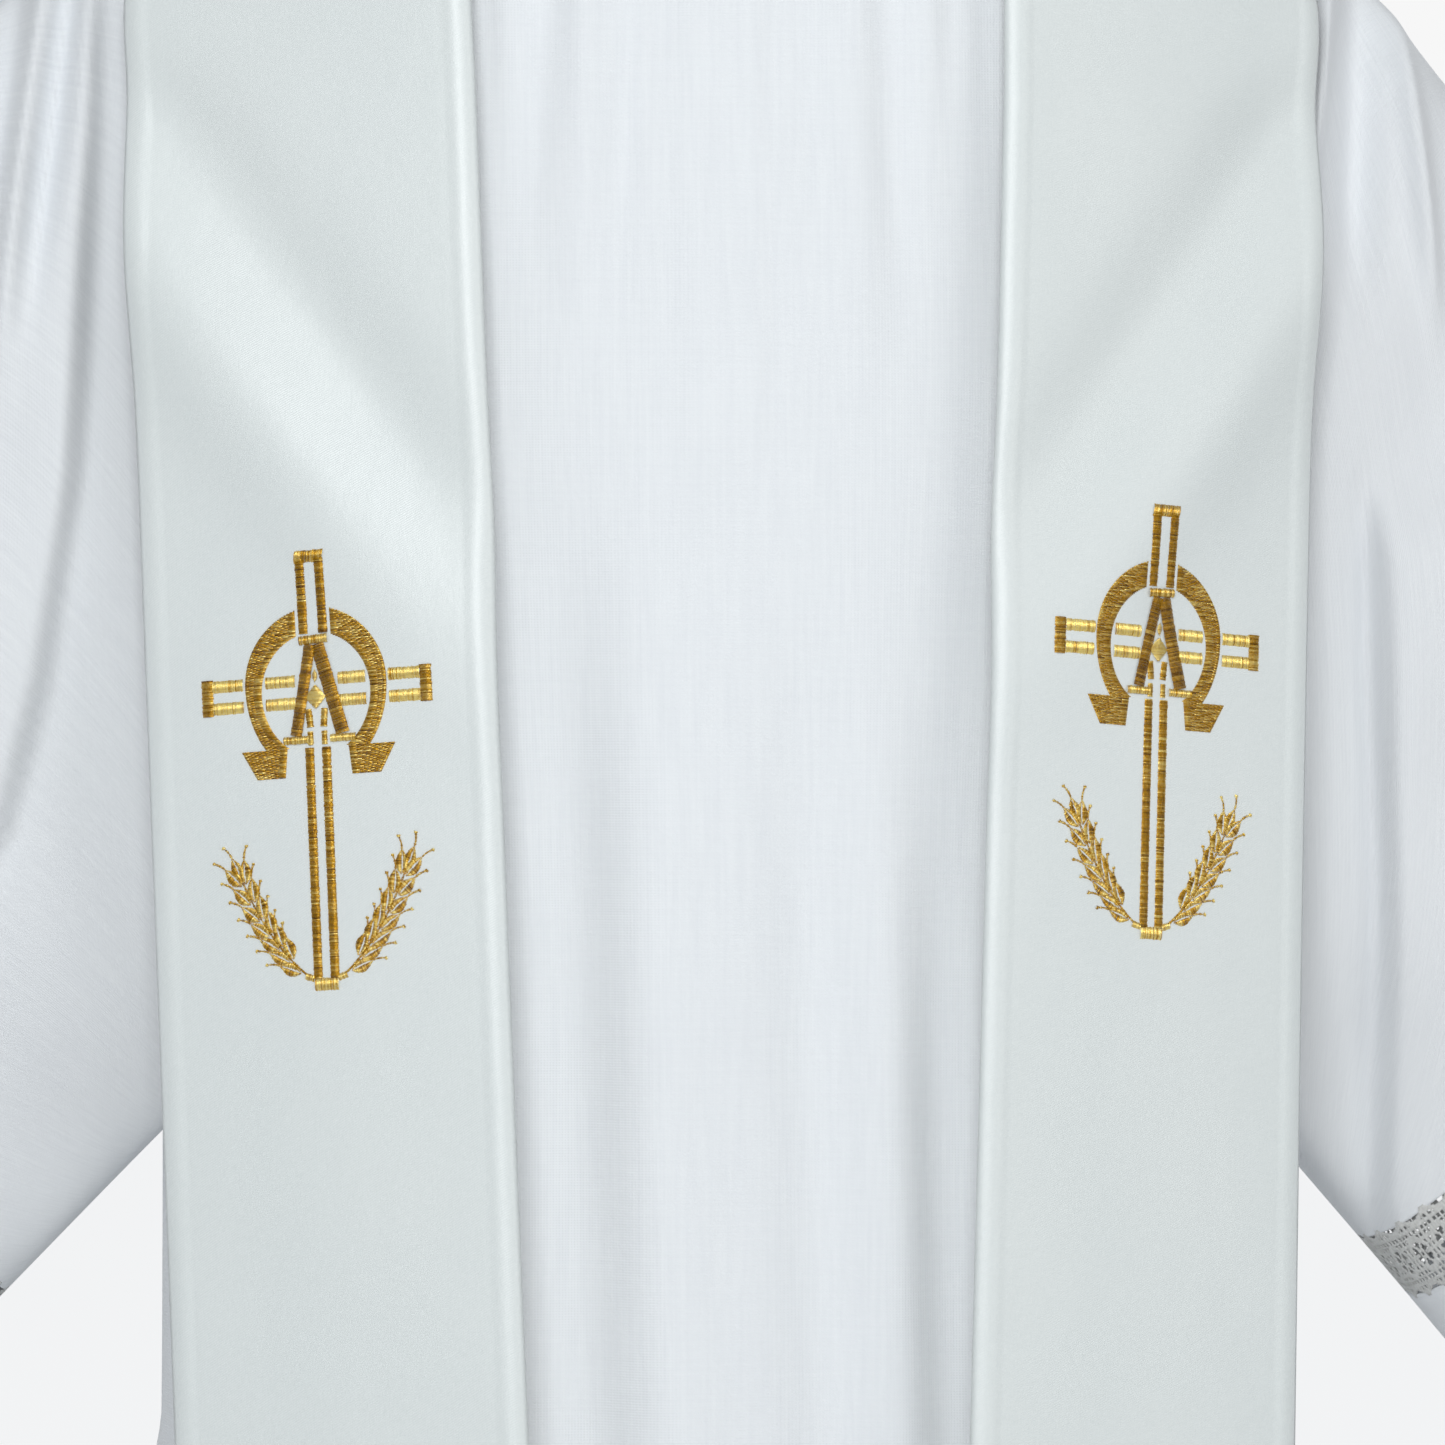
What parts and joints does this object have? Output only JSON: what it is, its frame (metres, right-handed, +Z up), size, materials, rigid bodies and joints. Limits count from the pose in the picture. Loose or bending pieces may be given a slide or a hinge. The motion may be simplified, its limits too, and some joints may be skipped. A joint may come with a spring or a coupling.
{
  "type": "alb and stole",
  "caption": "White wide-sleeved alb with lace above the cuffs, worn under a broad satin stole whose falls carry gold embroidered crosses and wheat ears.",
  "frame": {"origin": "middle of the neck at the height of the shoulder ridge, where a wearer or a hanger holds the garment", "axes": "+Z up along the body, -Y out of the front, +X to the right as seen from the front"},
  "size_m": [1.3118, 0.4367, 1.4765],
  "materials": {
    "alb_cotton": "fine plain weave with slubs, matt",
    "lace": "open cotton lace, matt",
    "stole_satin": "heavy matt satin, cool ivory",
    "stole_lining": "plain lining cloth, slight sheen",
    "stole_interlining": "stiff felted interlining",
    "gold_thread": "metallised embroidery thread, satin stitch",
    "button_pearl": "pearly, glossy"
  },
  "bodies": {
    "alb": {"yoke_front_right": "alb_cotton", "yoke_front_left": "alb_cotton", "yoke_back_right": "alb_cotton", "yoke_back_left": "alb_cotton", "collar_right": "alb_cotton", "collar_left": "alb_cotton", "front_panel_right": "alb_cotton", "front_panel_left": "alb_cotton", "front_hem_right": "alb_cotton", "front_hem_left": "alb_cotton", "back_panel_right": "alb_cotton", "back_panel_left": "alb_cotton", "back_hem_right": "alb_cotton", "back_hem_left": "alb_cotton", "side_panel_right": "alb_cotton", "side_panel_left": "alb_cotton", "side_hem_right": "alb_cotton", "side_hem_left": "alb_cotton", "placket_outer_strip": "alb_cotton", "placket_inner_strip": "alb_cotton", "placket_button_1": "button_pearl", "placket_button_2": "button_pearl", "placket_button_3": "button_pearl"},
    "right_sleeve": {"right_sleeve_front": "alb_cotton", "right_sleeve_back": "alb_cotton", "right_lace_front": "lace", "right_lace_back": "lace", "right_cuff_front": "alb_cotton", "right_cuff_back": "alb_cotton"},
    "left_sleeve": {"left_sleeve_front": "alb_cotton", "left_sleeve_back": "alb_cotton", "left_lace_front": "lace", "left_lace_back": "lace", "left_cuff_front": "alb_cotton", "left_cuff_back": "alb_cotton"},
    "stole": {"stole_shoulder_face_right": "stole_satin", "stole_shoulder_face_left": "stole_satin", "stole_shoulder_lining_right": "stole_lining", "stole_shoulder_lining_left": "stole_lining"},
    "stole_right_fall": {"stole_fall_face_right": "stole_satin", "stole_fall_interlining_right": "stole_interlining", "stole_fall_lining_right": "stole_lining", "embroidered_cross_right": "gold_thread", "embroidered_wheat_ear_inner_right": "gold_thread", "embroidered_wheat_ear_outer_right": "gold_thread", "embroidered_omega_half_inner_right": "gold_thread", "embroidered_omega_half_outer_right": "gold_thread", "embroidered_alpha_right": "gold_thread"},
    "stole_left_fall": {"stole_fall_face_left": "stole_satin", "stole_fall_interlining_left": "stole_interlining", "stole_fall_lining_left": "stole_lining", "embroidered_cross_left": "gold_thread", "embroidered_wheat_ear_inner_left": "gold_thread", "embroidered_wheat_ear_outer_left": "gold_thread", "embroidered_omega_half_inner_left": "gold_thread", "embroidered_omega_half_outer_left": "gold_thread", "embroidered_alpha_left": "gold_thread"}
  },
  "joints": [
    {"name": "right_sleeve_raise", "type": "hinge", "parent": "alb", "child": "right_sleeve", "pos_m": [0.228, 0, -0.05], "axis": [0, -1, 0], "range_deg": [0, 50]},
    {"name": "left_sleeve_raise", "type": "hinge", "parent": "alb", "child": "left_sleeve", "pos_m": [-0.228, 0, -0.05], "axis": [0, 1, 0], "range_deg": [0, 50]},
    {"name": "stole_lift", "type": "slide", "parent": "alb", "child": "stole", "axis": [0, 0, 1], "range_m": [0, 0.3]},
    {"name": "stole_right_swing", "type": "hinge", "parent": "stole", "child": "stole_right_fall", "pos_m": [0.112, -0.14026, -0.1585], "axis": [-0.9252, -0.3795, 0], "range_deg": [0, 60]},
    {"name": "stole_left_swing", "type": "hinge", "parent": "stole", "child": "stole_left_fall", "pos_m": [-0.112, -0.14026, -0.1585], "axis": [-0.9252, 0.3795, 0], "range_deg": [0, 60]}
  ]
}
